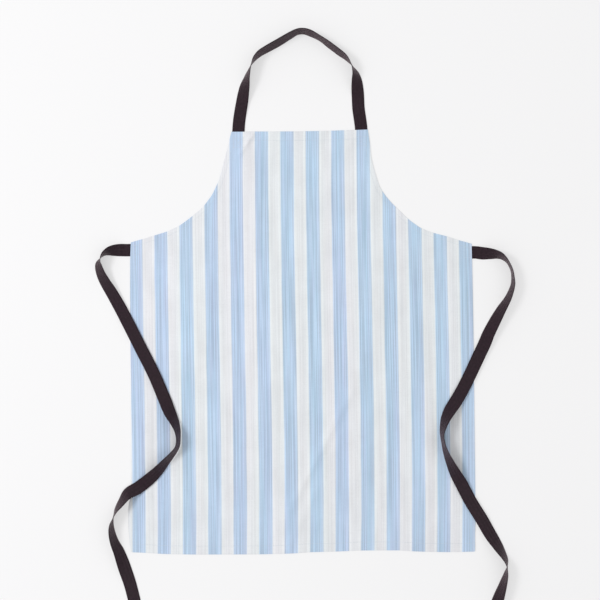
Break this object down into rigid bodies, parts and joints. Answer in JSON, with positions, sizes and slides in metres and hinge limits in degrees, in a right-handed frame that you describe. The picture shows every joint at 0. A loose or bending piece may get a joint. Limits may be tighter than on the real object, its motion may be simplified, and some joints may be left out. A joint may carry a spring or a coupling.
{
  "type": "butcher apron",
  "caption": "Striped canvas bib apron with turned hems, a webbing neck loop and webbing waist ties, laid flat with its front up.",
  "frame": {"origin": "middle of the footprint of panel and neck loop, on the surface that the apron lies on", "axes": "+X to the right of the front, +Y towards the neck, +Z out of the front of the cloth"},
  "size_m": [0.8476, 1.3105, 0.0287],
  "materials": {
    "canvas": "matt cotton canvas with pale blue and off-white stripes",
    "webbing": "matt cotton twill webbing",
    "pale_thread": "polished cotton sewing thread",
    "dark_thread": "polished cotton sewing thread"
  },
  "bodies": {
    "panel": {"body_panel": "canvas", "bib_hem": "canvas", "armhole_hem_left": "canvas", "armhole_hem_right": "canvas", "side_hem_left": "canvas", "side_hem_right": "canvas", "bottom_hem": "canvas", "neck_strap_end_left": "webbing", "neck_strap_end_right": "webbing", "waist_tie_root_left": "webbing", "waist_tie_root_right": "webbing", "bib_topstitch": "pale_thread", "armhole_topstitch_left": "pale_thread", "armhole_topstitch_right": "pale_thread", "side_topstitch_left": "pale_thread", "side_topstitch_right": "pale_thread", "bottom_topstitch": "pale_thread", "neck_tack_left": "pale_thread", "neck_tack_right": "pale_thread", "waist_tack_left": "pale_thread", "waist_tack_right": "pale_thread"},
    "neck_loop": {"neck_strap": "webbing"},
    "left_tie": {"waist_tie_left": "webbing", "waist_tie_tip_left": "webbing", "tie_tip_stitch_left": "dark_thread"},
    "right_tie": {"waist_tie_right": "webbing", "waist_tie_tip_right": "webbing", "tie_tip_stitch_right": "dark_thread"}
  },
  "joints": [
    {"name": "neck_loop_fold", "type": "hinge", "parent": "panel", "child": "neck_loop", "pos_m": [0, 0.32598, 0.0034], "axis": [1, 0, 0], "range_deg": [0, 165]},
    {"name": "left_tie_swing", "type": "hinge", "parent": "panel", "child": "left_tie", "pos_m": [-0.402, 0.07298, 0.0127], "axis": [0, 0, -1], "range_deg": [0, 90]},
    {"name": "right_tie_swing", "type": "hinge", "parent": "panel", "child": "right_tie", "pos_m": [0.416, 0.04998, 0.0127], "axis": [0, 0, 1], "range_deg": [0, 90]}
  ]
}
